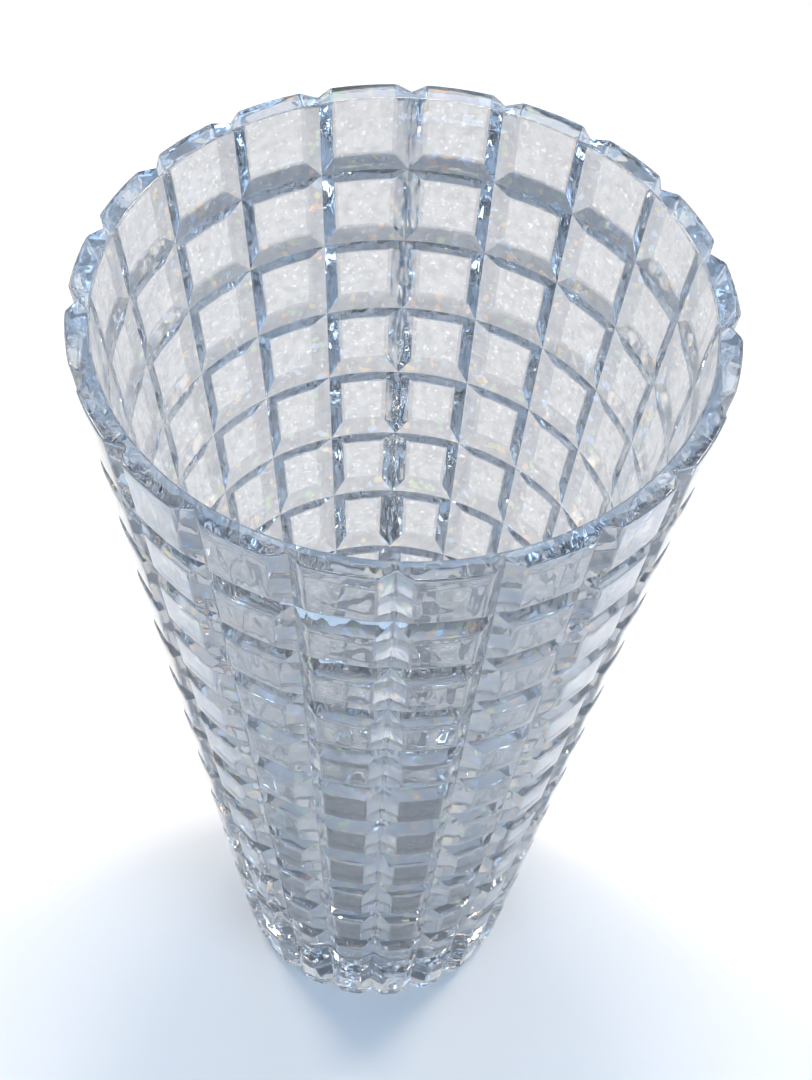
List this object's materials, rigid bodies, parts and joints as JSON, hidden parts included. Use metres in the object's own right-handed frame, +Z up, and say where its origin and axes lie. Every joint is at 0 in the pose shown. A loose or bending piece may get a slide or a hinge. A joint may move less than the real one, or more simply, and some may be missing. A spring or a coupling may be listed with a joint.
{
  "type": "cut crystal vase",
  "caption": "Tall flared vase in thick clear glass, its outside cut into a grid of low square blocks by crossing V-grooves; holds water and cut flowers.",
  "frame": {"origin": "centre of the foot's underside, on the surface that the vase stands on", "axes": "+Z up along the vase's axis towards the rim; an upright groove lies on +X"},
  "size_m": [0.1516, 0.1516, 0.248],
  "materials": {
    "crystal": "polished cut crystal"
  },
  "bodies": {
    "root": {"rim_band": "crystal", "upper_wall": "crystal", "middle_wall": "crystal", "lower_wall": "crystal", "foot": "crystal"}
  },
  "joints": []
}
